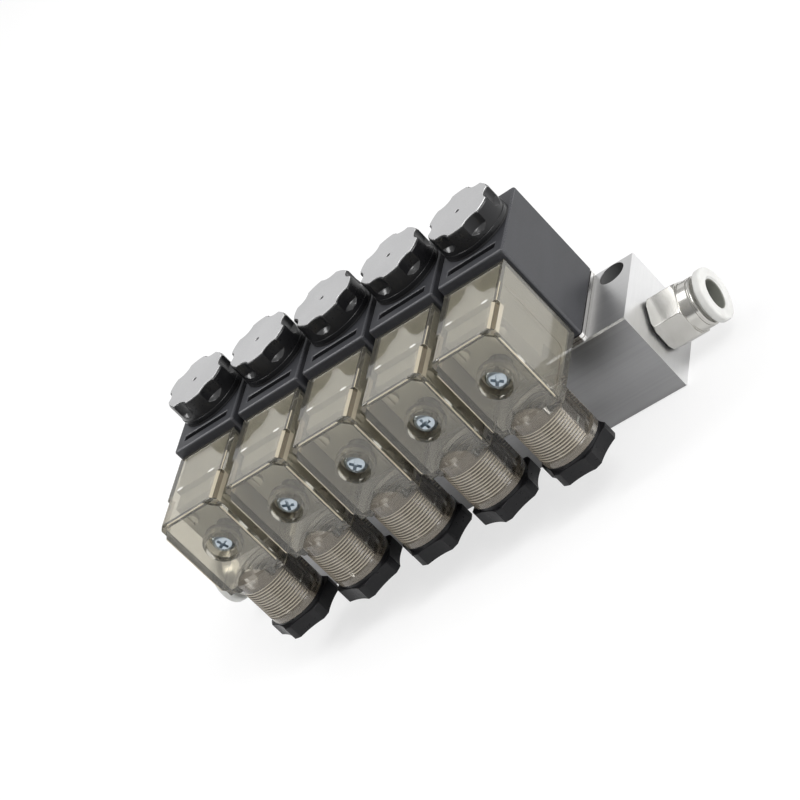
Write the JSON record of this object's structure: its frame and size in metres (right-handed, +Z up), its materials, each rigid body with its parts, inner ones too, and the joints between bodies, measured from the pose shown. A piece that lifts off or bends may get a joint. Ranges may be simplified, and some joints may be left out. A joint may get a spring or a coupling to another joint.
{
  "type": "solenoid valve bank",
  "caption": "Solenoid valves in a row on an aluminium manifold bar, each with moulded coil, lobed retaining knob and see-through plug connector with cable gland; push-in fittings at the ends.",
  "frame": {"origin": "on the underside of the bar, straight below the middle valve's axis", "axes": "+X along the bar towards the end with the visible fitting, -Y towards the connectors, +Z up along the valves' axes"},
  "size_m": [0.1776, 0.0645, 0.0699],
  "materials": {
    "bar": "satin anodised",
    "nickel": "nickel plated",
    "ring_plastic": "light grey moulding",
    "rubber": "black",
    "plated_steel": "bright zinc plated",
    "stainless": "stainless",
    "spring_steel": "drawn wire",
    "block_plastic": "dark moulding",
    "contact_brass": "tinned edge",
    "coil_plastic": "fine grained charcoal",
    "knob_plastic": "semi gloss black",
    "label_silver": "silver grey film",
    "nut_plastic": "black moulding",
    "smoky_plastic": "see-through smoky moulding"
  },
  "bodies": {
    "valve_bank": {"manifold_block": "bar", "fitting_body_right": "nickel", "fitting_body_left": "nickel", "fitting_seals": "rubber", "socket_seals": "rubber", "base_plates": "plated_steel", "plate_screws": "plated_steel", "armature_tubes": "stainless", "fixed_cores": "stainless", "tube_orings": "rubber", "knob_washers": "rubber", "gaskets": "rubber", "contact_blocks": "block_plastic", "contact_blades": "contact_brass", "terminal_screws": "plated_steel", "connector_screws": "plated_steel", "gland_seals": "rubber", "gland_washers": "plated_steel", "coil_1": "coil_plastic", "coil_2": "coil_plastic", "coil_3": "coil_plastic", "coil_4": "coil_plastic", "coil_5": "coil_plastic", "connector_housing_1": "smoky_plastic", "connector_housing_2": "smoky_plastic", "connector_housing_3": "smoky_plastic", "connector_housing_4": "smoky_plastic", "connector_housing_5": "smoky_plastic", "plunger_spring_1": "spring_steel", "plunger_spring_2": "spring_steel", "plunger_spring_3": "spring_steel", "plunger_spring_4": "spring_steel", "plunger_spring_5": "spring_steel"},
    "retaining_knob_1": {"knob_1": "knob_plastic", "knob_label_1": "label_silver"},
    "retaining_knob_2": {"knob_2": "knob_plastic", "knob_label_2": "label_silver"},
    "retaining_knob_3": {"knob_3": "knob_plastic", "knob_label_3": "label_silver"},
    "retaining_knob_4": {"knob_4": "knob_plastic", "knob_label_4": "label_silver"},
    "retaining_knob_5": {"knob_5": "knob_plastic", "knob_label_5": "label_silver"},
    "gland_nut_body_1": {"gland_nut_1": "nut_plastic"},
    "gland_nut_body_2": {"gland_nut_2": "nut_plastic"},
    "gland_nut_body_3": {"gland_nut_3": "nut_plastic"},
    "gland_nut_body_4": {"gland_nut_4": "nut_plastic"},
    "gland_nut_body_5": {"gland_nut_5": "nut_plastic"},
    "plunger_body_1": {"plunger_1": "stainless"},
    "plunger_body_2": {"plunger_2": "stainless"},
    "plunger_body_3": {"plunger_3": "stainless"},
    "plunger_body_4": {"plunger_4": "stainless"},
    "plunger_body_5": {"plunger_5": "stainless"},
    "release_right": {"release_ring_right": "ring_plastic"},
    "release_left": {"release_ring_left": "ring_plastic"}
  },
  "joints": [
    {"name": "knob_1_turn", "type": "hinge", "parent": "valve_bank", "child": "retaining_knob_1", "pos_m": [-0.048, 0, 0.0665], "axis": [0, 0, 1], "continuous": true},
    {"name": "knob_2_turn", "type": "hinge", "parent": "valve_bank", "child": "retaining_knob_2", "pos_m": [-0.024, 0, 0.0665], "axis": [0, 0, 1], "continuous": true},
    {"name": "knob_3_turn", "type": "hinge", "parent": "valve_bank", "child": "retaining_knob_3", "pos_m": [0, 0, 0.0665], "axis": [0, 0, 1], "continuous": true},
    {"name": "knob_4_turn", "type": "hinge", "parent": "valve_bank", "child": "retaining_knob_4", "pos_m": [0.024, 0, 0.0665], "axis": [0, 0, 1], "continuous": true},
    {"name": "knob_5_turn", "type": "hinge", "parent": "valve_bank", "child": "retaining_knob_5", "pos_m": [0.048, 0, 0.0665], "axis": [0, 0, 1], "continuous": true},
    {"name": "gland_nut_1_turn", "type": "hinge", "parent": "valve_bank", "child": "gland_nut_body_1", "pos_m": [-0.048, -0.0412, 0.014], "axis": [0, 0, 1], "continuous": true},
    {"name": "gland_nut_2_turn", "type": "hinge", "parent": "valve_bank", "child": "gland_nut_body_2", "pos_m": [-0.024, -0.0412, 0.014], "axis": [0, 0, 1], "continuous": true},
    {"name": "gland_nut_3_turn", "type": "hinge", "parent": "valve_bank", "child": "gland_nut_body_3", "pos_m": [0, -0.0412, 0.014], "axis": [0, 0, 1], "continuous": true},
    {"name": "gland_nut_4_turn", "type": "hinge", "parent": "valve_bank", "child": "gland_nut_body_4", "pos_m": [0.024, -0.0412, 0.014], "axis": [0, 0, 1], "continuous": true},
    {"name": "gland_nut_5_turn", "type": "hinge", "parent": "valve_bank", "child": "gland_nut_body_5", "pos_m": [0.048, -0.0412, 0.014], "axis": [0, 0, 1], "continuous": true},
    {"name": "plunger_1_lift", "type": "slide", "parent": "valve_bank", "child": "plunger_body_1", "axis": [0, 0, 1], "range_m": [0, 0.0012], "stiffness_N_per_m": 200, "springref_m": -0.005, "deforming": ["plunger_spring_1"]},
    {"name": "plunger_2_lift", "type": "slide", "parent": "valve_bank", "child": "plunger_body_2", "axis": [0, 0, 1], "range_m": [0, 0.0012], "stiffness_N_per_m": 200, "springref_m": -0.005, "deforming": ["plunger_spring_2"]},
    {"name": "plunger_3_lift", "type": "slide", "parent": "valve_bank", "child": "plunger_body_3", "axis": [0, 0, 1], "range_m": [0, 0.0012], "stiffness_N_per_m": 200, "springref_m": -0.005, "deforming": ["plunger_spring_3"]},
    {"name": "plunger_4_lift", "type": "slide", "parent": "valve_bank", "child": "plunger_body_4", "axis": [0, 0, 1], "range_m": [0, 0.0012], "stiffness_N_per_m": 200, "springref_m": -0.005, "deforming": ["plunger_spring_4"]},
    {"name": "plunger_5_lift", "type": "slide", "parent": "valve_bank", "child": "plunger_body_5", "axis": [0, 0, 1], "range_m": [0, 0.0012], "stiffness_N_per_m": 200, "springref_m": -0.005, "deforming": ["plunger_spring_5"]},
    {"name": "release_right_press", "type": "slide", "parent": "valve_bank", "child": "release_right", "axis": [-1, 0, 0], "range_m": [0, 0.001], "stiffness_N_per_m": 300, "springref_m": -0.002},
    {"name": "release_left_press", "type": "slide", "parent": "valve_bank", "child": "release_left", "axis": [1, 0, 0], "range_m": [0, 0.001], "stiffness_N_per_m": 300, "springref_m": -0.002}
  ]
}
